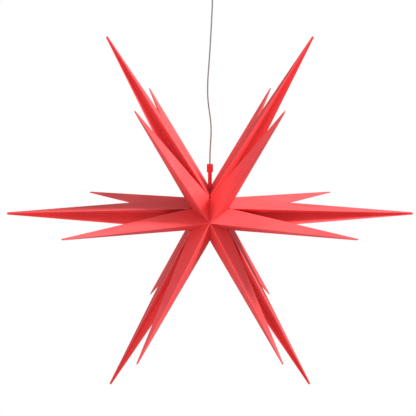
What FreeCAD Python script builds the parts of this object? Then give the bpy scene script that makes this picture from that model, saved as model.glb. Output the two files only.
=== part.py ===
"""Hanging eighteen-pointed star lampshade on its cord, with the ceiling fitting.

The origin is where the ceiling fitting meets the ceiling, on the line of the
cord.  +Z is up and the star faces -Y.  All sizes are in millimetres.  The star
has six clusters round a level front-to-back axis.  Each cluster has a front, a
middle and a back point, folded from thin sheet and open towards the hub.
"""
import FreeCAD, Part
import math
import os
import re

import Sketcher
from FreeCAD import Vector

SIZES = {
    # star, measured from its centre: "radius" is out from the front-to-back
    # axis, "reach" is along that axis
    "star_drop": 358.0,
    "star_span": 570.0,
    "front_tip_radius": 185.3,
    "front_tip_reach": 216.6,
    "face_reach": 88.2,
    "corner_radius": 30.1,
    "corner_reach": 52.6,
    "saddle_reach": 13.1,
    "skin": 0.8,
    "tip_width": 2.4,
    "tip_cap": 6.0,
    "corner_hole_radius": 1.8,
    # hanger that closes the top seam
    "seam_gap": 0.5,
    "prong_foot": 26.4,
    "prong_length": 12.4,
    "prong_depth": 5.2,
    "prong_gap": 2.0,
    "prong_split": 10.2,
    "prong_taper": 3.0,
    "barb_radius": 5.0,
    "barb_thickness": 2.0,
    "prong_radius": 3.7,
    "neck_radius": 2.75,
    "neck_length": 19.8,
    "spigot_radius": 2.0,
    "spigot_length": 7.0,
    "grip_radius": 4.4,
    "grip_length": 11.2,
    "grip_flute_width": 1.1,
    "grip_flute_depth": 0.6,
    "grip_flutes": 8,
    "slide_gap": 0.08,
    # cord
    "cord_radius": 0.95,
    "cord_gap": 0.15,
    # lamp holder and lamp inside the hub
    "holder_foot": 3.0,
    "holder_radius": 7.0,
    "holder_length": 19.0,
    "socket_radius": 5.0,
    "socket_depth": 13.0,
    "cord_hole_depth": 4.0,
    "flange_radius": 6.4,
    "flange_thickness": 2.0,
    "lamp_base_length": 11.0,
    "bulb_radius": 5.6,
    "bulb_length": 13.0,
    "bulb_wall": 0.8,
    "pin_radius": 0.5,
    "pin_pitch": 5.0,
    "contact_width": 2.0,
    "contact_thickness": 0.4,
    "emitter_side": 3.2,
    "emitter_thickness": 0.8,
    # ceiling fitting
    "plate_radius": 28.2,
    "plate_thickness": 2.0,
    "skirt_length": 9.0,
    "skirt_wall": 1.8,
    "fixing_pitch": 34.0,
    "fixing_hole_radius": 2.25,
    "cable_hole_radius": 5.0,
    "cable_hole_offset": 14.0,
    "cup_wall": 1.6,
    "cup_gap": 0.1,
    "cup_length": 24.0,
    "cup_round": 4.0,
    "cup_screw_radius": 1.5,
    "cup_screw_length": 5.5,
    "cup_screw_head_radius": 2.8,
    "cup_screw_head": 1.2,
    "cup_screw_drop": 5.5,
    "block_width": 16.0,
    "block_depth": 9.0,
    "block_height": 8.0,
    "block_offset": 13.0,
    "wire_pitch": 7.0,
    "wire_hole_radius": 1.4,
    "clamp_screw_radius": 1.5,
    "clamp_screw_length": 2.4,
    "gland_flange_radius": 9.4,
    "gland_flange": 2.0,
    "gland_radius": 6.8,
    "gland_height": 6.0,
    "gland_mouth_radius": 3.6,
    "gland_throat_radius": 3.1,
    "gland_exit_radius": 6.4,
    "stop_radius": 4.2,
    "stop_neck_radius": 1.15,
    "stop_mouth_radius": 2.9,
}

POINTS_ROUND = 6
FIRST_SLOT_POINT = 1
RIGHT_ANGLE = math.pi / 2
DOME_STEPS = 3
BALL_STEPS = 9

doc = FreeCAD.newDocument("HangingStar")
sheet = doc.addObject("Spreadsheet::Sheet", "Sizes")
for row, (alias, number) in enumerate(SIZES.items(), start=1):
    sheet.set(f"A{row}", alias)
    sheet.set(f"B{row}", str(number))
    sheet.setAlias(f"B{row}", alias)
doc.recompute()

sub_parts = []


def size(alias):
    """A driving dimension as a number."""
    return float(sheet.get(alias))


def bound(text):
    """The same expression with each alias read from the sheet."""
    return re.sub(r"[a-z]\w*", lambda word: "Sizes." + word.group(0), text)


def value(text):
    """The number that an expression of aliases gives."""
    result = sheet.evalExpression(bound(text))
    return float(getattr(result, "Value", result))


def keep(item, label, place=None):
    """Name a finished sub-part and put it where it belongs."""
    item.Label = label
    if place is not None:
        item.Placement = place
    sub_parts.append(item)
    return item


def raised(height, x=0.0, y=0.0):
    """A placement that lifts a sub-part, unturned."""
    return FreeCAD.Placement(Vector(x, y, height), FreeCAD.Rotation())


# --- PartDesign helpers ------------------------------------------------------


def origin_plane(body, role):
    """One of the body's own origin planes."""
    return next(item for item in body.Origin.OriginFeatures if item.Role == role)


def outline_sketch(body, name, role, corners):
    """A closed outline whose corners are expressions of the sheet's sizes."""
    sketch = body.newObject("Sketcher::SketchObject", name)
    sketch.AttachmentSupport = [(origin_plane(body, role), "")]
    sketch.MapMode = "FlatFace"
    spots = [Vector(value(across), value(up), 0) for across, up in corners]
    for spot, following in zip(spots, spots[1:] + spots[:1]):
        sketch.addGeometry(Part.LineSegment(spot, following), False)
    last = len(corners)
    for index in range(last):
        sketch.addConstraint(Sketcher.Constraint("Coincident", index, 2, (index + 1) % last, 1))
    for index, (across, up) in enumerate(corners):
        hold(sketch, index, 1, "DistanceX", across)
        hold(sketch, index, 1, "DistanceY", up)
    return sketch


def hold(sketch, index, spot, kind, text):
    """Hold a line's start (1) or a circle's centre (3) at a distance, or on the axis."""
    axis = {"DistanceX": -2, "DistanceY": -1}[kind]
    if text == "0":
        sketch.addConstraint(Sketcher.Constraint("PointOnObject", index, spot, axis))
        return
    number = sketch.addConstraint(Sketcher.Constraint(kind, -1, 1, index, spot, value(text)))
    sketch.setExpression(f"Constraints[{number}]", bound(text))


def round_sketch(body, name, role, centres, radius):
    """Circles of one radius at centres given as expressions."""
    sketch = body.newObject("Sketcher::SketchObject", name)
    sketch.AttachmentSupport = [(origin_plane(body, role), "")]
    sketch.MapMode = "FlatFace"
    for index, (across, up) in enumerate(centres):
        centre = Vector(value(across), value(up), 0)
        sketch.addGeometry(Part.Circle(centre, Vector(0, 0, 1), value(radius)), False)
        number = sketch.addConstraint(Sketcher.Constraint("Radius", index, value(radius)))
        sketch.setExpression(f"Constraints[{number}]", bound(radius))
        hold(sketch, index, 3, "DistanceX", across)
        hold(sketch, index, 3, "DistanceY", up)
    return sketch


def turned_body(name, corners):
    """A body of revolution about Z from an outline in the XZ plane."""
    body = doc.addObject("PartDesign::Body", name)
    sketch = outline_sketch(body, name + "Outline", "XZ_Plane", corners)
    turn = body.newObject("PartDesign::Revolution", name + "Turned")
    turn.Profile = sketch
    turn.ReferenceAxis = (sketch, ["V_Axis"])
    turn.Angle = 360.0
    doc.recompute()
    return body


def cut(body, sketch, length, reverse=False, both_ways=False):
    """A pocket that must take material away."""
    before = body.Shape.Volume
    pocket = body.newObject("PartDesign::Pocket", sketch.Name + "Cut")
    pocket.Profile = sketch
    pocket.setExpression("Length", bound(length))
    pocket.Reversed = reverse
    pocket.Midplane = both_ways
    doc.recompute()
    if body.Shape.Volume > before - 1e-3:
        raise RuntimeError(sketch.Name + " cuts nothing")
    return pocket


def repeat_round(body, feature, count):
    """A feature repeated evenly about the body's Z axis."""
    pattern = body.newObject("PartDesign::PolarPattern", feature.Name + "Round")
    pattern.Originals = [feature]
    pattern.Axis = (next(item for item in body.Origin.OriginFeatures if item.Role == "Z_Axis"), [""])
    pattern.Angle = 360.0
    pattern.setExpression("Occurrences", bound(count))
    body.Tip = pattern
    doc.recompute()
    return pattern


# --- folded points of the star ----------------------------------------------


def section(corners, apex, share):
    """A pyramid's outline at a share of its distance from the apex."""
    return [apex + (corner - apex) * share for corner in corners]


def frustum(lower, upper):
    """A closed solid with flat sides between two like outlines."""
    faces = [Part.Face(Part.makePolygon(lower + lower[:1])), Part.Face(Part.makePolygon(upper + upper[:1]))]
    count = len(lower)
    for index in range(count):
        after = (index + 1) % count
        ring = [lower[index], lower[after], upper[after], upper[index], lower[index]]
        faces.append(Part.Face(Part.makePolygon(ring)))
    solid = Part.Solid(Part.Shell(faces))
    if solid.Volume < 0:
        solid.reverse()
    return solid


def inset(corners, apex, wall):
    """The outline moved in so that every side of the pyramid is one wall thick.

    The corners run anticlockwise seen from the apex.
    """
    normal = (corners[1] - corners[0]).cross(corners[2] - corners[1]).normalize()
    if normal.dot(apex - corners[0]) < 0:
        normal = -normal
    count = len(corners)
    edges = []
    steps = []
    for index in range(count):
        edge = (corners[(index + 1) % count] - corners[index]).normalize()
        side = (corners[index] - apex).cross(edge).normalize()
        edges.append(edge)
        steps.append(wall / math.sqrt(1 - side.dot(normal) ** 2))
    inner = []
    for index, corner in enumerate(corners):
        edge_in, edge_out = edges[index - 1], edges[index]
        side_in, side_out = normal.cross(edge_in), normal.cross(edge_out)
        along_out = steps[index - 1] / edge_out.dot(side_in)
        along_in = steps[index] / edge_in.dot(side_out)
        inner.append(corner + edge_out * along_out + edge_in * along_in)
    return inner


def shifted_apex(centre, tip, share):
    """Where a pyramid would end if it went on past its blunt tip."""
    return (tip - centre * share) * (1 / (1 - share))


def hollow(outer_base, apex, share_at_tip, wall, cap):
    """A blunt hollow pyramid: its outside and the space inside it."""
    outside = frustum(outer_base, section(outer_base, apex, share_at_tip))
    inner_base = inset(outer_base, apex, wall)
    depth = (apex - outer_base[0]).Length
    share_inside = share_at_tip + cap / depth
    steps = [after - before for before, after in zip(outer_base, inner_base)]
    far = [corner + step for corner, step in zip(section(outer_base, apex, share_inside), steps)]
    near = [corner + step for corner, step in zip(section(outer_base, apex, 1 + cap / depth), steps)]
    return outside, frustum(near, far)


def star_corners():
    """The named corners of one cluster, pointing along +X, front towards -Y."""
    half_turn = math.pi / POINTS_ROUND
    across = size("corner_radius") * math.sin(half_turn)
    out = size("corner_radius") * math.cos(half_turn)
    slope = (size("face_reach") - size("corner_reach")) / out
    saddle_radius = (size("face_reach") - size("saddle_reach")) / slope
    return {
        "face": Vector(0, -size("face_reach"), 0),
        "corner_left": Vector(out, -size("corner_reach"), across),
        "corner_right": Vector(out, -size("corner_reach"), -across),
        "saddle": Vector(saddle_radius, -size("saddle_reach"), 0),
        "front_tip": Vector(size("front_tip_radius"), -size("front_tip_reach"), 0),
        "middle_tip": Vector(size("star_span") / 2, 0, 0),
    }


def corner_holes(solid, corners):
    """Open the small eight-sided relief hole where the folds meet at each hub corner."""
    radius = size("corner_hole_radius")
    for corner in corners:
        outward = Vector(corner).normalize()
        first = outward.cross(Vector(1, 0, 0)).normalize() * radius
        steps = [FreeCAD.Rotation(outward, turn).multVec(first) for turn in range(0, 360, 45)]
        ring = [corner - outward * 2 * radius + step for step in steps]
        hole = Part.Face(Part.makePolygon(ring + ring[:1])).extrude(outward * 4 * radius)
        solid = solid.cut(hole)
    return solid


def front_point_shape(spots):
    """A long kite-based point that leans out towards the front."""
    base = [spots["face"], spots["corner_right"], spots["saddle"], spots["corner_left"]]
    width = (spots["corner_left"] - spots["corner_right"]).Length
    share = size("tip_width") / width
    centre = (spots["corner_left"] + spots["corner_right"]) * 0.5
    apex = shifted_apex(centre, spots["front_tip"], share)
    # the cap must reach to where four walls have not yet met
    cap = size("tip_cap") + 2 * size("skin") / width * (apex - centre).Length
    outside, inside = hollow(base, apex, share, size("skin"), cap)
    return corner_holes(outside.cut(inside), [spots["corner_left"], spots["corner_right"]])


def mirror_y(spot):
    """The same corner on the back half of the star."""
    return Vector(spot.x, -spot.y, spot.z)


def middle_point_shape(spots):
    """A long point with flat sides and a folded groove at the front and back."""
    left, right, saddle = spots["corner_left"], spots["corner_right"], spots["saddle"]
    width = (left - right).Length
    share = size("tip_width") / width
    apex = shifted_apex(Vector(left.x, 0, 0), spots["middle_tip"], share)
    waist_reach = -saddle.y * (apex.x - left.x) / (apex.x - saddle.x)
    waist = Vector(left.x, -waist_reach, 0)
    base = [right, mirror_y(right), mirror_y(waist), mirror_y(left), left, waist]
    groove_step = size("skin") * (left - waist).Length / left.z
    cap = (apex - waist).Length * groove_step / waist_reach + size("tip_cap")
    outside, inside = hollow(base, apex, share, size("skin"), cap - share * (apex - waist).Length)
    shell = outside.cut(inside)
    shell = shell.cut(hub_gap(spots, apex))
    holes = [left, right, mirror_y(left), mirror_y(right)]
    return corner_holes(shell, holes)


def hub_gap(spots, apex):
    """The open way from the hub into a middle point, between its two side walls."""
    left, face = spots["corner_left"], spots["face"]
    reach = size("face_reach")
    slope = (face - left).y / left.x
    far_radius = reach / abs(slope)
    wall = size("skin") / math.cos(math.atan2(left.z, apex.x - left.x))
    near_radius = left.x - 5 * size("skin")
    frames = []
    for radius in (near_radius, far_radius):
        half = left.z * (apex.x - radius) / (apex.x - left.x) - wall
        frames.append([
            Vector(radius, -reach, -half),
            Vector(radius, reach, -half),
            Vector(radius, reach, half),
            Vector(radius, -reach, half),
        ])
    between_walls = frustum(frames[0], frames[1])
    near_reach = reach - abs(slope) * near_radius
    triangle = [
        Vector(near_radius, -near_reach, -reach),
        Vector(far_radius, 0, -reach),
        Vector(near_radius, near_reach, -reach),
    ]
    hub_side = Part.Face(Part.makePolygon(triangle + triangle[:1])).extrude(Vector(0, 0, 2 * reach))
    return between_walls.common(hub_side)


def seam_slot():
    """The part of the top seam that the hanger's prongs keep open."""
    width = value("2 * (prong_radius + seam_gap)")
    length = value("prong_depth + 2 * seam_gap")
    foot = size("prong_foot")
    return Part.makeBox(width, length, size("prong_length"), Vector(-width / 2, -length / 2, foot))


def add_star():
    """Eighteen folded points, each a sub-part of its own."""
    spots = star_corners()
    front = front_point_shape(spots)
    back = front.mirror(Vector(), Vector(0, 1, 0))
    middle = middle_point_shape(spots)
    slot = seam_slot()
    centre = Vector(0, 0, -size("star_drop"))
    for index in range(POINTS_ROUND):
        turn = FreeCAD.Rotation(Vector(0, -1, 0), index * 360 / POINTS_ROUND)
        for place, shape in (("front", front), ("middle", middle), ("back", back)):
            point = doc.addObject("Part::Feature", f"{place.title()}Point{index + 1}")
            own = shape.copy()
            if place == "middle" and index in (FIRST_SLOT_POINT, FIRST_SLOT_POINT + 1):
                opening = slot.copy()
                opening.Placement = FreeCAD.Placement(Vector(), turn.inverted())
                own = own.cut(opening)
            point.Shape = own
            keep(point, f"{place}_point_{index + 1}", FreeCAD.Placement(centre, turn))


# --- cord --------------------------------------------------------------------

# the free cord's route from the ceiling down to the hanger: across and above
# the star's centre, hand-placed along the photographed line
CORD_ROUTE = [
    (0.0, 338.0),
    (0.0, 324.0),
    (2.7, 310.0),
    (3.7, 298.0),
    (2.9, 278.0),
    (1.0, 243.0),
    (-0.8, 215.0),
    (-3.0, 187.0),
    (-3.2, 166.0),
    (-1.6, 149.0),
    (1.3, 130.0),
    (1.9, 114.0),
    (0.6, 94.0),
    (0.0, 82.0),
    (0.0, 70.5),
]
ARC_SHARE = 0.45


def cord_wire(route):
    """Straight runs joined by the largest tangent arcs that the runs allow."""
    edges = []
    start = route[0]
    radii = []
    for before, corner, after in zip(route, route[1:], route[2:]):
        way_in, way_out = (corner - before), (after - corner)
        turn = way_in.getAngle(way_out)
        reach = ARC_SHARE * min(way_in.Length, way_out.Length)
        radii.append(reach / math.tan(turn / 2))
        way_in.normalize()
        way_out.normalize()
        first, last = corner - way_in * reach, corner + way_out * reach
        inner = (first + last) * 0.5 - corner
        to_centre = inner.normalize() * (radii[-1] / math.cos(turn / 2))
        middle = corner + to_centre - inner * radii[-1]
        edges.append(Part.LineSegment(start, first).toShape())
        edges.append(Part.Arc(first, middle, last).toShape())
        start = last
    edges.append(Part.LineSegment(start, route[-1]).toShape())
    return Part.Wire(edges), radii


def cord_shape(route, radius):
    """A round cord along its wire, checked against its length."""
    wire, radii = cord_wire(route)
    if radii:
        print("cord radii", [round(bend, 1) for bend in radii])
    circle = Part.Circle(route[0], route[1] - route[0], radius).toShape()
    tube = wire.makePipeShell([Part.Wire(circle)], True, False)
    wanted = math.pi * radius ** 2 * wire.Length
    print("cord length", round(wire.Length, 1), "volume share", round(tube.Volume / wanted, 4))
    return tube


def add_cords():
    """The free cord, the stretch inside the star and the lead above the stop."""
    radius = size("cord_radius")
    drop = size("star_drop")
    top = pivot_height() + drop
    grip_top = value("prong_foot + prong_length + neck_length + grip_length")
    route = [Vector(across, 0, up) for across, up in CORD_ROUTE]
    route[0] = Vector(0, 0, top)
    route[-1] = Vector(0, 0, grip_top + 2 * size("cord_gap"))
    free = doc.addObject("Part::Feature", "HangingCord")
    free.Shape = cord_shape(route, radius).fuse(Part.makeSphere(radius, route[0])).removeSplitter()
    keep(free, "hanging_cord", raised(-drop))

    foot = value("holder_foot + holder_length - cord_hole_depth")
    lower = doc.addObject("Part::Cylinder", "LampCord")
    lower.setExpression("Radius", bound("cord_radius"))
    lower.Height = grip_top - foot
    keep(lower, "lamp_cord", raised(foot - drop))

    block_face = size("block_offset") - size("block_depth") / 2
    lead_height = -value("plate_thickness + block_height / 2")
    lead = doc.addObject("Part::Feature", "CeilingLead")
    start = pivot_height() + size("stop_radius") + 0.6
    aside = -size("wire_pitch") / 2
    lead_route = [
        Vector(0, 0, start),
        Vector(0, 0, lead_height),
        Vector(aside, block_face * 0.6, lead_height),
        Vector(aside, block_face * 1.3, lead_height),
    ]
    lead.Shape = cord_shape(lead_route, radius)
    keep(lead, "ceiling_lead")


# --- hanger ------------------------------------------------------------------


def add_hanger():
    """The forked hanger with its fluted cord grip."""
    drop = size("star_drop")
    neck_top = "prong_length + neck_length"
    bore = "cord_radius + cord_gap"
    fork = turned_body("HangerFork", [
        (bore, "0"),
        ("prong_radius", "0"),
        ("barb_radius", "barb_thickness / 2"),
        ("barb_radius", "barb_thickness"),
        ("prong_radius", "barb_thickness"),
        ("prong_radius", "prong_length"),
        ("neck_radius", "prong_length + prong_taper"),
        ("neck_radius", neck_top),
        ("spigot_radius", neck_top),
        ("spigot_radius", neck_top + " + spigot_length"),
        (bore, neck_top + " + spigot_length"),
    ])
    gap = outline_sketch(fork, "ForkGap", "XZ_Plane", [
        ("0 - prong_gap / 2", "0"),
        ("prong_gap / 2", "0"),
        ("prong_gap / 2", "prong_split"),
        ("0 - prong_gap / 2", "prong_split"),
    ])
    cut(fork, gap, "4 * barb_radius", both_ways=True)
    for side, sign in (("Front", "0 - "), ("Back", "")):
        flat = outline_sketch(fork, "ForkFlat" + side, "XY_Plane", [
            ("0 - barb_radius - 1", sign + "prong_depth / 2"),
            ("barb_radius + 1", sign + "prong_depth / 2"),
            ("barb_radius + 1", sign + "(barb_radius + 1)"),
            ("0 - barb_radius - 1", sign + "(barb_radius + 1)"),
        ])
        cut(fork, flat, "prong_split", reverse=True)
    keep(fork, "hanger_fork", raised(size("prong_foot") - drop))

    grip = turned_body("CordGrip", [
        (bore, "grip_length"),
        ("grip_radius - slide_gap * 8", "grip_length"),
        ("grip_radius", "grip_length - slide_gap * 8"),
        ("grip_radius", "0"),
        ("spigot_radius + slide_gap", "0"),
        ("spigot_radius + slide_gap", "spigot_length + slide_gap"),
        (bore, "spigot_length + slide_gap"),
    ])
    flute = outline_sketch(grip, "GripFlute", "XY_Plane", [
        ("grip_radius - grip_flute_depth", "0 - grip_flute_width / 2"),
        ("grip_radius + 1", "0 - grip_flute_width / 2"),
        ("grip_radius + 1", "grip_flute_width / 2"),
        ("grip_radius - grip_flute_depth", "grip_flute_width / 2"),
    ])
    groove = cut(grip, flute, "grip_length + 1", reverse=True)
    repeat_round(grip, groove, "grip_flutes")
    keep(grip, "cord_grip_nut", raised(value("prong_foot + prong_length + neck_length") - drop))


# --- lamp --------------------------------------------------------------------


def add_lamp():
    """The lamp holder on the cord's end and the small plug-in lamp."""
    drop = size("star_drop")
    bore = "cord_radius + cord_gap"
    holder = turned_body("LampHolder", [
        ("socket_radius", "0"),
        ("holder_radius", "0"),
        ("holder_radius", "socket_depth + cord_hole_depth / 2"),
        ("holder_radius - cord_hole_depth / 2", "holder_length"),
        (bore, "holder_length"),
        (bore, "holder_length - cord_hole_depth"),
        (bore, "socket_depth"),
        ("socket_radius", "socket_depth"),
    ])
    keep(holder, "lamp_holder", raised(size("holder_foot") - drop))

    contacts = []
    for index, sign in enumerate((-1, 1)):
        strip = doc.addObject("Part::Box", f"LampContact{index + 1}")
        strip.setExpression("Length", bound("contact_width"))
        strip.setExpression("Width", bound("contact_width"))
        strip.setExpression("Height", bound("contact_thickness"))
        middle = sign * value("pin_pitch / 2") - value("contact_width / 2")
        strip.Placement = raised(value("holder_foot + socket_depth - contact_thickness") - drop,
                                 middle, -value("contact_width / 2"))
        contacts.append(strip)
    pair = doc.addObject("Part::Compound", "LampContacts")
    pair.Links = contacts
    keep(pair, "lamp_contacts")

    lamp_foot = value("holder_foot - flange_thickness - slide_gap")
    base = turned_body("LampBase", [
        ("0", "0"),
        ("flange_radius", "0"),
        ("flange_radius", "flange_thickness"),
        ("socket_radius - slide_gap", "flange_thickness"),
        ("socket_radius - slide_gap", "flange_thickness + lamp_base_length"),
        ("0", "flange_thickness + lamp_base_length"),
    ])
    keep(base, "lamp_base", raised(lamp_foot - drop))

    pins = []
    for index, sign in enumerate((-1, 1)):
        pin = doc.addObject("Part::Cylinder", f"LampPin{index + 1}")
        pin.setExpression("Radius", bound("pin_radius"))
        length = "socket_depth - lamp_base_length - contact_thickness"
        pin.setExpression("Height", bound(length))
        pin.Placement = raised(lamp_foot + value("flange_thickness + lamp_base_length") - drop,
                               sign * value("pin_pitch / 2"))
        pins.append(pin)
    pin_pair = doc.addObject("Part::Compound", "LampPins")
    pin_pair.Links = pins
    keep(pin_pair, "lamp_pins")

    keep(bulb_object(), "lamp_bulb", raised(lamp_foot - size("bulb_length") - drop))

    emitter = doc.addObject("Part::Box", "LampEmitter")
    emitter.setExpression("Length", bound("emitter_side"))
    emitter.setExpression("Width", bound("emitter_side"))
    emitter.setExpression("Height", bound("emitter_thickness"))
    half = size("emitter_side") / 2
    keep(emitter, "lamp_emitter", raised(lamp_foot - size("emitter_thickness") - drop, -half, -half))


def dome_outline(radius, foot):
    """Corners from a dome's lowest point, on the axis, up to the rim."""
    corners = [("0", foot)]
    for step in range(1, DOME_STEPS + 1):
        turn = RIGHT_ANGLE * step / DOME_STEPS
        across, rise = math.sin(turn), 1 - math.cos(turn)
        corners.append((f"({radius}) * {across:.6f}", f"{foot} + ({radius}) * {rise:.6f}"))
    corners.append((radius, "bulb_length"))
    return corners


def bulb_object():
    """The hollow domed cap of the lamp, with its rim at the top."""
    outside = dome_outline("bulb_radius", "0")
    inside = dome_outline("bulb_radius - bulb_wall", "bulb_wall")
    return turned_body("LampBulb", outside + inside[::-1])


# --- ceiling fitting ---------------------------------------------------------


def pivot_height():
    """The height of the ball stop's centre, where the cord swings."""
    seat = size("gland_mouth_radius")
    lift = math.sqrt((size("stop_radius") + size("slide_gap")) ** 2 - seat ** 2)
    return -value("cup_length + gland_flange - gland_height") + lift


def add_ceiling_fitting():
    """Plate, cup, screws, terminals, gland and the cord's ball stop."""
    plate = turned_body("CeilingPlate", [
        ("0", "skirt_length - plate_thickness"),
        ("plate_radius - skirt_wall", "skirt_length - plate_thickness"),
        ("plate_radius - skirt_wall", "0"),
        ("plate_radius", "0"),
        ("plate_radius", "skirt_length"),
        ("0", "skirt_length"),
    ])
    fixings = round_sketch(plate, "FixingHoles", "XY_Plane",
                           [("0 - fixing_pitch / 2", "0"), ("fixing_pitch / 2", "0")], "fixing_hole_radius")
    cut(plate, fixings, "skirt_length + 1", reverse=True)
    cable = round_sketch(plate, "CableHole", "XY_Plane", [("0", "0 - cable_hole_offset")], "cable_hole_radius")
    cut(plate, cable, "skirt_length + 1", reverse=True)
    side = round_sketch(plate, "SkirtScrewHoles", "YZ_Plane",
                        [("0", "skirt_length - cup_screw_drop")], "cup_screw_radius")
    cut(plate, side, "4 * plate_radius", both_ways=True)
    keep(plate, "ceiling_plate", raised(-size("skirt_length")))

    inside = "plate_radius + cup_gap"
    outside = inside + " + cup_wall"
    hole = "gland_radius + slide_gap"
    cup = turned_body("CeilingCup", [
        (hole, "0"),
        (outside + " - cup_round", "0"),
        (outside + " - cup_round * 0.3", "cup_round * 0.3"),
        (outside, "cup_round"),
        (outside, "cup_length"),
        (inside, "cup_length"),
        (inside, "cup_round"),
        (inside + " - cup_round + cup_wall", "cup_wall"),
        (hole, "cup_wall"),
    ])
    cup_side = round_sketch(cup, "CupScrewHoles", "YZ_Plane",
                            [("0", "cup_length - cup_screw_drop")], "cup_screw_radius + slide_gap")
    cut(cup, cup_side, "4 * plate_radius", both_ways=True)
    keep(cup, "ceiling_cup", raised(-size("cup_length")))

    screws = []
    for index, angle in enumerate((90, -90)):
        screw = turned_body(f"CupScrew{index + 1}", [
            ("0", "0"),
            ("cup_screw_radius", "0"),
            ("cup_screw_radius", "cup_screw_length"),
            ("cup_screw_head_radius", "cup_screw_length"),
            ("cup_screw_head_radius * 0.8", "cup_screw_length + cup_screw_head"),
            ("0", "cup_screw_length + cup_screw_head"),
        ])
        out = value(outside + " - cup_screw_length + slide_gap")
        sign = math.copysign(1, angle)
        turn = FreeCAD.Rotation(Vector(0, 1, 0), angle)
        screw.Placement = FreeCAD.Placement(Vector(sign * out, 0, -size("cup_screw_drop")), turn)
        screws.append(screw)
    pair = doc.addObject("Part::Compound", "CupScrews")
    pair.Links = screws
    keep(pair, "cup_screws")

    add_terminals()
    add_gland()


def add_terminals():
    """The two-pole terminal block and its clamp screws."""
    block = doc.addObject("PartDesign::Body", "TerminalBlock")
    outline = outline_sketch(block, "BlockOutline", "XY_Plane", [
        ("0 - block_width / 2", "0 - block_depth / 2"),
        ("block_width / 2", "0 - block_depth / 2"),
        ("block_width / 2", "block_depth / 2"),
        ("0 - block_width / 2", "block_depth / 2"),
    ])
    pad = block.newObject("PartDesign::Pad", "BlockPad")
    pad.Profile = outline
    pad.setExpression("Length", bound("block_height"))
    doc.recompute()
    ways = round_sketch(block, "WireWays", "XZ_Plane", [
        ("0 - wire_pitch / 2", "block_height / 2"),
        ("wire_pitch / 2", "block_height / 2"),
    ], "wire_hole_radius")
    cut(block, ways, "2 * block_depth", both_ways=True)
    shafts = round_sketch(block, "ClampShafts", "XY_Plane", [
        ("0 - wire_pitch / 2", "0"),
        ("wire_pitch / 2", "0"),
    ], "clamp_screw_radius + slide_gap")
    cut(block, shafts, "block_height / 2", reverse=True)
    foot = -value("plate_thickness + block_height")
    keep(block, "terminal_block", raised(foot, 0, size("block_offset")))

    screws = []
    for index, sign in enumerate((-1, 1)):
        screw = doc.addObject("Part::Cylinder", f"ClampScrew{index + 1}")
        screw.setExpression("Radius", bound("clamp_screw_radius"))
        screw.setExpression("Height", bound("clamp_screw_length"))
        screw.Placement = raised(foot, sign * size("wire_pitch") / 2, size("block_offset"))
        screws.append(screw)
    pair = doc.addObject("Part::Compound", "TerminalScrews")
    pair.Links = screws
    keep(pair, "terminal_screws")


def add_gland():
    """The gland in the cup's floor and the ball stop that rocks in it."""
    gland = turned_body("CordGland", [
        ("gland_exit_radius", "0"),
        ("gland_flange_radius - gland_flange / 2", "0"),
        ("gland_flange_radius", "gland_flange / 2"),
        ("gland_flange_radius", "gland_flange"),
        ("gland_radius", "gland_flange"),
        ("gland_radius", "gland_height"),
        ("gland_mouth_radius", "gland_height"),
        ("gland_throat_radius", "gland_height - 2 * (gland_mouth_radius - gland_throat_radius)"),
    ])
    keep(gland, "cord_gland", raised(-value("cup_length + gland_flange")))

    keep(turned_body("CordStop", ball_outline()), "cord_stop", raised(pivot_height()))


def ball_outline():
    """A ball with a cone-mouthed bore along its axis, in short straight steps."""
    radius, mouth = size("stop_radius"), size("stop_mouth_radius")
    first = math.asin(mouth / radius)
    corners = [("stop_neck_radius", "0")]
    for step in range(BALL_STEPS + 1):
        turn = first + (math.pi - 2 * first) * step / BALL_STEPS
        across, rise = math.sin(turn), -math.cos(turn)
        corners.append((f"stop_radius * {across:.6f}", f"stop_radius * {rise:.6f}"))
    return corners


def check_and_write():
    """Stop on any failed object, then write one file for each sub-part."""
    doc.recompute()
    for item in doc.Objects:
        if "Invalid" in item.State or "Error" in item.State:
            raise RuntimeError(f"{item.Name} failed: {item.State}")
    os.makedirs("parts", exist_ok=True)
    for item in sub_parts:
        shape = item.Shape
        if shape.isNull() or not shape.isValid():
            raise RuntimeError(item.Label + " has no valid shape")
        shape.exportStep(os.path.join("parts", item.Label + ".step"))
        print(item.Label, len(shape.Solids), round(shape.Volume, 1))


add_ceiling_fitting()
add_cords()
add_hanger()
add_lamp()
add_star()
check_and_write()
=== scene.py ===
# %% [markdown]
# A hanging star, dressed for its portrait
#
# The construction model already holds every piece of the star at its real
# size. This lesson loads it, gives each piece its finish, adds the soft fold
# lines and the limp cord that solids can't show, and sets up the studio.
# Everything is in metres: +Z is up and the star faces -Y.

# %% Load the model
import math

import bmesh
import bpy
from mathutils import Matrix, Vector


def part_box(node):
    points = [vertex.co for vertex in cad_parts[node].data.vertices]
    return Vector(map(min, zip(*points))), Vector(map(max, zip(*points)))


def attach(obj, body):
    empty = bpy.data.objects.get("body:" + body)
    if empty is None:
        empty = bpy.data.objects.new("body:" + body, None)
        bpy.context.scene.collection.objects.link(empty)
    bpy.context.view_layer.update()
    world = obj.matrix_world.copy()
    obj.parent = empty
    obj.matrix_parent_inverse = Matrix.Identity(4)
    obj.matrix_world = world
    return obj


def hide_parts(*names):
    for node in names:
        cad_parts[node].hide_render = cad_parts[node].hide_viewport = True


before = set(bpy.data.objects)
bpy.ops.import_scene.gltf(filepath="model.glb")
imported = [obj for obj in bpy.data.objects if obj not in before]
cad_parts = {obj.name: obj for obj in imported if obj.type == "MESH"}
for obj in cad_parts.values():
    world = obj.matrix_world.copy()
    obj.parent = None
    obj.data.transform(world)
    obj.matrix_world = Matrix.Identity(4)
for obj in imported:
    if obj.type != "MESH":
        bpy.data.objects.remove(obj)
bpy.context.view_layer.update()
POINTS_ROUND = 6
point_low, point_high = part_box("middle_point_1")
SPAN = point_high[0] * 2
CENTRE = Vector((0.0, 0.0, (point_low[2] + point_high[2]) / 2))
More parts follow.
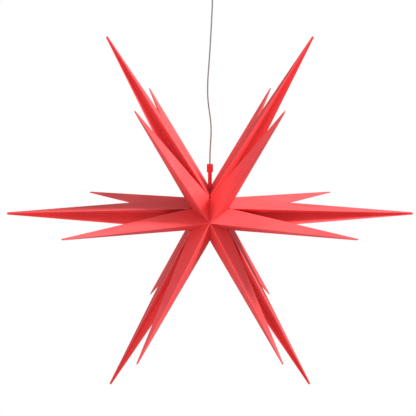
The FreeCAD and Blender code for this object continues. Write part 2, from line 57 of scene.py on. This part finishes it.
print("star centre", tuple(round(v, 4) for v in CENTRE), "span", round(SPAN, 4))

# %% [markdown]
# The camera
#
# The photograph shows the back points smaller than the front ones and all of
# them from a little above, so the camera stands about two metres off and looks
# slightly down. A small shift keeps the star where the picture has it.

# %% Camera
PICTURE = 416
SENSOR_WIDTH = 36.0
STAR_SPAN_PIXELS = 405.3
STAR_CENTRE_PIXELS = (209.9, 213.4)
CAMERA_DISTANCE = 2.011
CAMERA_PITCH = math.radians(8.74)
metres_per_pixel = SPAN / STAR_SPAN_PIXELS

camera_data = bpy.data.cameras.new("camera")
camera_data.sensor_width = SENSOR_WIDTH
camera_data.lens = SENSOR_WIDTH * CAMERA_DISTANCE / (metres_per_pixel * PICTURE)
camera_data.clip_end = 50.0
camera = bpy.data.objects.new("camera", camera_data)
bpy.context.scene.collection.objects.link(camera)
toward = Vector((0.0, math.cos(CAMERA_PITCH), -math.sin(CAMERA_PITCH)))
camera.location = CENTRE - toward * CAMERA_DISTANCE
camera.rotation_euler = toward.to_track_quat("-Z", "Y").to_euler()
camera_data.shift_x = (PICTURE / 2 - STAR_CENTRE_PIXELS[0]) / PICTURE
camera_data.shift_y = (STAR_CENTRE_PIXELS[1] - PICTURE / 2) / PICTURE
bpy.context.scene.camera = camera
print("lens", round(camera_data.lens, 1), "mm")
print("shift", round(camera_data.shift_x, 4), round(camera_data.shift_y, 4))

# %% [markdown]
# The cord
#
# The real cord is limp and thin, and hangs in a few lazy waves. A curve with a
# round bevel is the natural way to make it: the points below are the ones the
# construction model uses, and a smooth spline rounds the waves by itself.

# %% The hanging cord
CORD_RADIUS = 0.00095
CORD_ROUTE = [
    (0.0, 0.0),
    (0.0, 0.324),
    (0.0027, 0.310),
    (0.0037, 0.298),
    (0.0029, 0.278),
    (0.0010, 0.243),
    (-0.0008, 0.215),
    (-0.0030, 0.187),
    (-0.0032, 0.166),
    (-0.0016, 0.149),
    (0.0013, 0.130),
    (0.0019, 0.114),
    (0.0006, 0.094),
    (0.0, 0.082),
    (0.0, 0.0),
]
cord_low, cord_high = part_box("hanging_cord")
route = [Vector((x, 0.0, CENTRE.z + z)) for x, z in CORD_ROUTE]
route[0] = Vector((0.0, 0.0, cord_high[2] - CORD_RADIUS))
route[-1] = Vector((0.0, 0.0, cord_low[2]))


def smooth_cord(name, points, radius):
    """A round cord along one smooth spline: a bevel of one metre, shrunk at each point."""
    data = bpy.data.curves.new(name, "CURVE")
    data.dimensions = "3D"
    data.bevel_depth = 1.0
    data.bevel_resolution = 4
    data.resolution_u = 16
    data.use_fill_caps = True
    spline = data.splines.new("NURBS")
    spline.points.add(len(points) - 1)
    for spot, place in zip(spline.points, points):
        spot.co = (*place, 1.0)
        spot.radius = radius
    spline.order_u = 3
    spline.use_endpoint_u = True
    item = bpy.data.objects.new(name, data)
    bpy.context.scene.collection.objects.link(item)
    return item


cord = smooth_cord("hanging_cord_line", route, CORD_RADIUS)
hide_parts("hanging_cord")
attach(cord, "cord")
cord_length = sum((b - a).length for a, b in zip(route, route[1:]))
print("cord runs", round(cord_length, 4), "m")

# %% [markdown]
# Shader arithmetic
#
# Procedural finishes are sums of simple patterns. Writing them as Python
# expressions keeps them readable, so a small class wraps a node's socket and
# lets plus, minus and times add the Math nodes.


# %% A small language for shaders
class Wire:
    """One socket of a material, ready for arithmetic."""

    def __init__(self, recipe, socket):
        self.recipe = recipe
        self.socket = socket

    def __add__(self, other):
        return self.recipe.maths("ADD", self, other)

    def __radd__(self, other):
        return self.recipe.maths("ADD", other, self)

    def __sub__(self, other):
        return self.recipe.maths("SUBTRACT", self, other)

    def __mul__(self, other):
        return self.recipe.maths("MULTIPLY", self, other)

    def clamp(self):
        return self.recipe.maths("ADD", self, 0.0, use_clamp=True)


class Recipe:
    """A material under construction."""

    def __init__(self, name):
        self.material = bpy.data.materials.new(name)
        self.material.use_nodes = True
        self.tree = self.material.node_tree
        self.shader = self.tree.nodes["Principled BSDF"]

    def node(self, kind, values=None, output=0, **settings):
        """Any node: its settings first, then the values or links of its sockets."""
        item = self.tree.nodes.new(kind)
        for key, setting in settings.items():
            setattr(item, key, setting)
        for key, given in (values or {}).items():
            self.feed(item.inputs[key], given)
        return Wire(self, item.outputs[output])

    def feed(self, socket, given):
        """Link a wire to a socket, or set the socket's own value."""
        if isinstance(given, Wire):
            self.tree.links.new(given.socket, socket)
        else:
            socket.default_value = given

    def maths(self, operation, first, second, use_clamp=False):
        values = {0: first, 1: second}
        return self.node("ShaderNodeMath", values, operation=operation, use_clamp=use_clamp)

    def mix(self, factor, first, second):
        """Mix two colours. Sockets 0, 6 and 7 are the factor and the colours."""
        values = {0: factor, 6: first, 7: second}
        return self.node("ShaderNodeMix", values, output=2, data_type="RGBA")

    def place(self):
        """Where on the piece, in metres."""
        return self.node("ShaderNodeTexCoord", output="Object")

    def noise(self, scale, detail=3.0, roughness=0.5):
        values = {"Vector": self.place(), "Scale": scale, "Detail": detail, "Roughness": roughness}
        return self.node("ShaderNodeTexNoise", values)

    def bump(self, height, strength, distance):
        values = {"Height": height, "Strength": strength, "Distance": distance}
        return self.node("ShaderNodeBump", values)

    def set(self, **given):
        """Give the shader's sockets their values, words joined by underscores."""
        for key, value in given.items():
            self.feed(self.shader.inputs[key.replace("_", " ")], value)
        return self


def ramp_between(recipe, wire, low, high):
    """A wire stretched so that low becomes 0 and high becomes 1."""
    values = {"Value": wire, "From Min": low, "From Max": high}
    return recipe.node("ShaderNodeMapRange", values)


print("shader helpers ready")

# %% [markdown]
# The star's sheet
#
# The star is folded from thin red plastic sheet with a satin face. Up close
# such sheet has a very fine grain and faint, broad changes of tone where it is
# a little thicker or has been handled. Two attributes on the mesh mark the
# folds: a painted highlight makes the ridges paler, and painted shade makes
# the valleys deeper.

# %% Sheet finish
SHEET_RED = (0.88, 0.096, 0.100, 1.0)
SHEET_DEEP = (0.79, 0.076, 0.082, 1.0)
# Painted highlight: the pale red that the ridges' narrow bevels are given.
RIDGE_HIGHLIGHT_RED = (1.0, 0.34, 0.33, 1.0)
# Painted shade: the deep red that the valleys' narrow bevels are given.
VALLEY_SHADE_RED = (0.46, 0.020, 0.026, 1.0)


def star_sheet():
    """Satin red sheet with a painted highlight on the ridges, painted shade in the valleys, fine
    grain and faint clouding.
    """
    recipe = Recipe("star_sheet")
    cloud = recipe.noise(14.0, 2.0)
    grain = recipe.noise(900.0, 2.0, 0.6)
    tone = ramp_between(recipe, cloud, 0.35, 0.65)
    sheet = recipe.mix(tone, SHEET_DEEP, SHEET_RED)
    # The ridge mask paints a highlight along each fold's crest.
    ridge_highlight = recipe.node("ShaderNodeAttribute", output="Fac", attribute_name="ridge_highlight")
    # The valley mask paints shade into each fold's hollow.
    valley_shade = recipe.node("ShaderNodeAttribute", output="Fac", attribute_name="valley_shade")
    colour = recipe.mix(valley_shade * 0.8, recipe.mix(ridge_highlight, sheet, RIDGE_HIGHLIGHT_RED), VALLEY_SHADE_RED)
    rough = 0.46 + grain * 0.10 - ridge_highlight * 0.10
    recipe.set(Base_Color=colour, Roughness=rough, Normal=recipe.bump(grain, 0.25, 0.00006))
    recipe.set(Specular_IOR_Level=0.15, IOR=1.49)
    return recipe.material


SHEET = star_sheet()
print("made", SHEET.name)

# %% [markdown]
# The moulded pieces
#
# Moulded plastic has an even colour. What gives it away is a faint clouding
# where the plastic flowed in the mould, and a fine satin grain.


# %% Moulded finishes
def moulded(name, colour, shade, rough, grain_scale=700.0):
    """Moulded plastic: even colour with faint flow clouds and a fine satin grain."""
    recipe = Recipe(name)
    cloud = ramp_between(recipe, recipe.noise(60.0), 0.3, 0.7)
    grain = recipe.noise(grain_scale, 2.0)
    recipe.set(Base_Color=recipe.mix(cloud, shade, colour), Roughness=rough + grain * 0.12)
    recipe.set(Normal=recipe.bump(grain, 0.2, 0.00005), IOR=1.5)
    return recipe.material


RED_MOULDED = moulded("red_moulded", (0.66, 0.030, 0.036, 1.0), (0.55, 0.022, 0.028, 1.0), 0.33)
WHITE_MOULDED = moulded("white_moulded", (0.60, 0.60, 0.58, 1.0), (0.54, 0.54, 0.52, 1.0), 0.38)
NYLON = moulded("natural_nylon", (0.72, 0.69, 0.58, 1.0), (0.64, 0.61, 0.50, 1.0), 0.45)
print("made three moulded finishes")

# %% [markdown]
# Metal, cord and lamp
#
# Plated metal shows fine drawn marks and dull patches. The cord's sheath is
# clear over two stranded wires, so it reads as greyish brown with a sheen.


# %% Metal, cord and lamp finishes
def plated(name, colour, rough, scale):
    """Plated metal with fine drawn marks and small dull patches."""
    recipe = Recipe(name)
    drawn = recipe.noise(scale, 4.0, 0.7)
    patch = ramp_between(recipe, recipe.noise(90.0, 3.0), 0.4, 0.7)
    dull = tuple(0.75 * part for part in colour[:3]) + (1.0,)
    recipe.set(Base_Color=recipe.mix(patch * 0.6, colour, dull))
    recipe.set(Roughness=rough + drawn * 0.18, Metallic=1.0)
    recipe.set(Normal=recipe.bump(drawn, 0.25, 0.00004))
    return recipe.material


def clear_cord():
    """A clear sheath over two thin stranded wires: greyish brown, with a sheen."""
    recipe = Recipe("clear_cord")
    mottle = ramp_between(recipe, recipe.noise(240.0, 3.0), 0.35, 0.65)
    strand = recipe.noise(1400.0, 2.0)
    colour = recipe.mix(mottle, (0.15, 0.130, 0.120, 1.0), (0.21, 0.190, 0.180, 1.0))
    recipe.set(Base_Color=colour, Roughness=0.26 + strand * 0.14, IOR=1.5, Coat_Weight=0.4)
    recipe.set(Normal=recipe.bump(strand, 0.3, 0.00008))
    return recipe.material


def frosted():
    """The lamp's frosted cap."""
    recipe = Recipe("frosted_cap")
    frost = recipe.noise(1500.0, 2.0)
    recipe.set(Base_Color=(0.93, 0.91, 0.86, 1.0), Roughness=0.38 + frost * 0.2, IOR=1.45)
    recipe.set(Normal=recipe.bump(frost, 0.2, 0.00004), Transmission_Weight=0.6)
    return recipe.material


ZINC = plated("zinc_plate", (0.66, 0.67, 0.69, 1.0), 0.30, 1100.0)
BRASS = plated("brass", (0.74, 0.52, 0.24, 1.0), 0.26, 1300.0)
CORD = clear_cord()
FROSTED = frosted()
PHOSPHOR = moulded("phosphor", (0.86, 0.66, 0.14, 1.0), (0.78, 0.58, 0.10, 1.0), 0.5, 2500.0)
print("made", ZINC.name, BRASS.name, CORD.name, FROSTED.name, PHOSPHOR.name)

# %% [markdown]
# The folded points
#
# A fold in real sheet is never knife sharp: it bends round a small radius and
# catches the light as a fine bright line. The construction model has sharp
# folds, so each point is copied, its triangles are joined back into whole
# faces, and only the long edges between two sheet faces get a narrow bevel.
# The bevel's own vertices are marked in attributes, from which the finish paints a highlight on
# the ridges and shade in the valleys.

# %% One folded point
SHEET_FACE_AREA = 3e-4
LEAST_FOLD_ANGLE = math.radians(4)
FLAT_ANGLE = math.radians(0.3)
SAME_PLACE = 2e-6
RIDGE_RADIUS = 0.0011
VALLEY_RADIUS = 0.0010
FOLD_STEPS = 4


def outer_sheet(mesh):
    """The large faces that look away from the point's own axis."""
    far = max(mesh.verts, key=lambda vert: (vert.co - CENTRE).length)
    axis = (far.co - CENTRE).normalized()
    found = set()
    for face in mesh.faces:
        middle = face.calc_center_median() - CENTRE
        sideways = middle - axis * middle.dot(axis)
        if face.calc_area() > SHEET_FACE_AREA and sideways.dot(face.normal) > 0:
            found.add(face)
    return found


def fold_edges(mesh):
    """The long edges where two outer faces meet at an angle, ridges and valleys."""
    sheet = outer_sheet(mesh)
    folds = [edge for edge in mesh.edges
             if len(edge.link_faces) == 2 and set(edge.link_faces) <= sheet
             and edge.calc_face_angle() > LEAST_FOLD_ANGLE]
    ridges = [edge for edge in folds if edge.is_convex]
    valleys = [edge for edge in folds if not edge.is_convex]
    return ridges, valleys


def round_folds(mesh, edges, radius, mask_name):
    """Bevel some folds and mark the vertices inside the new narrow faces."""
    made = bmesh.ops.bevel(mesh, geom=edges, offset=radius, offset_type="OFFSET",
                           segments=FOLD_STEPS, profile=0.5, affect="EDGES",
                           clamp_overlap=False, material=-1)
    narrow = {face for face in made["faces"] if face.is_valid}
    mask = mesh.verts.layers.float.new(mask_name)
    for face in narrow:
        face.smooth = True
        for vert in face.verts:
            vert[mask] = 1.0 if set(vert.link_faces) <= narrow else 0.0


def folded_point(node_name):
    """A copy of one point with softly rounded folds, ridges and valleys marked."""
    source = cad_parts[node_name]
    mesh = bmesh.new()
    mesh.from_mesh(source.data)
    bmesh.ops.remove_doubles(mesh, verts=mesh.verts, dist=SAME_PLACE)
    bmesh.ops.dissolve_limit(mesh, angle_limit=FLAT_ANGLE, use_dissolve_boundaries=False,
                             verts=mesh.verts, edges=mesh.edges)
    for face in mesh.faces:
        face.smooth = False
    round_folds(mesh, fold_edges(mesh)[0], RIDGE_RADIUS, "ridge_highlight")
    round_folds(mesh, fold_edges(mesh)[1], VALLEY_RADIUS, "valley_shade")
    bmesh.ops.remove_doubles(mesh, verts=mesh.verts, dist=SAME_PLACE)
    data = bpy.data.meshes.new(node_name + "_folded")
    mesh.to_mesh(data)
    mesh.free()
    piece = bpy.data.objects.new(node_name + "_folded", data)
    bpy.context.scene.collection.objects.link(piece)
    data.materials.append(SHEET)
    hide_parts(node_name)
    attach(piece, "star")
    return piece


for place in ("front", "middle", "back"):
    for number in range(1, POINTS_ROUND + 1):
        piece = folded_point(f"{place}_point_{number}")
    print(place, "points:", len(piece.data.polygons), "faces each")

# %% [markdown]
# The other pieces
#
# The construction model's own meshes stay as they are and only get a finish.
# A table says which, so that it can be read or changed in one place.

# %% Put the finishes on the construction model's pieces
FINISHES = {
    "ceiling_plate": ZINC,
    "ceiling_cup": WHITE_MOULDED,
    "cup_screws": ZINC,
    "terminal_block": NYLON,
    "terminal_screws": BRASS,
    "ceiling_lead": CORD,
    "cord_gland": WHITE_MOULDED,
    "cord_stop": WHITE_MOULDED,
    "hanger_fork": RED_MOULDED,
    "cord_grip_nut": RED_MOULDED,
    "lamp_cord": CORD,
    "lamp_holder": WHITE_MOULDED,
    "lamp_contacts": BRASS,
    "lamp_base": WHITE_MOULDED,
    "lamp_pins": BRASS,
    "lamp_bulb": FROSTED,
    "lamp_emitter": PHOSPHOR,
}


def finish(item, material):
    """Give a piece one material in every slot."""
    if not item.material_slots:
        item.data.materials.append(material)
    for slot in item.material_slots:
        slot.material = material


for node_name, material in FINISHES.items():
    finish(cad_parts[node_name], material)
finish(cord, CORD)
print("finished", len(FINISHES) + 1, "pieces")

# %% [markdown]
# The studio
#
# The photograph has a plain white ground and a large soft light from the upper
# right, with enough fill that no face goes black. The world looks white to the
# camera, lights the star gently, and is dimmer for mirrored rays, so that
# faces seen at a flat angle keep their red.


# %% World
WORLD_FILL = 0.60
WORLD_SEEN = 0.40
WORLD_MIRRORED = 0.38


def world_strength(recipe):
    """Full for rays from the camera or through clear plastic, low for mirrored rays."""
    path = recipe.tree.nodes.new("ShaderNodeLightPath")
    seen = Wire(recipe, path.outputs["Is Camera Ray"])
    mirrored = Wire(recipe, path.outputs["Is Glossy Ray"])
    through = Wire(recipe, path.outputs["Is Transmission Ray"])
    return WORLD_FILL + (seen + through).clamp() * WORLD_SEEN - mirrored * WORLD_MIRRORED


world = bpy.data.worlds.new("studio")
bpy.context.scene.world = world
world.use_nodes = True


class WorldRecipe(Recipe):
    """The same small language on the world's own nodes."""

    def __init__(self, owner):
        self.tree = owner.node_tree


sky = WorldRecipe(world)
background = world.node_tree.nodes["Background"]
sky.feed(background.inputs["Color"], (1.0, 1.0, 1.0, 1.0))
sky.feed(background.inputs["Strength"], world_strength(sky))
print("world ready")

# %% [markdown]
# The lights
#
# The key stands to the right and above. The front light only fills: it makes
# no highlight, because from behind it would whiten the points' flat angles.


# %% Lights
def soft_light(name, place, aim, width, power):
    """A square soft light that faces its aim."""
    data = bpy.data.lights.new(name, "AREA")
    data.shape = "SQUARE"
    data.size = width
    data.energy = power
    item = bpy.data.objects.new(name, data)
    bpy.context.scene.collection.objects.link(item)
    item.location = place
    item.rotation_euler = (Vector(aim) - Vector(place)).to_track_quat("-Z", "Y").to_euler()
    return item


soft_light("key_light", (1.62, -0.42, 1.36), CENTRE, 0.7, 86.0)
front_light = soft_light("front_light", (-0.35, -2.35, -0.10), CENTRE, 0.8, 23.0)
front_light.visible_glossy = False
soft_light("low_light", (-1.40, -1.30, -1.60), CENTRE, 1.0, 8.0)
print("three soft lights, the front one without highlights")

# %% [markdown]
# The end
#
# The picture uses the standard view transform. The finished model may not
# be larger than the construction model.

# %% View transform and end
bpy.context.view_layer.update()
bpy.context.scene.view_settings.view_transform = "Standard"
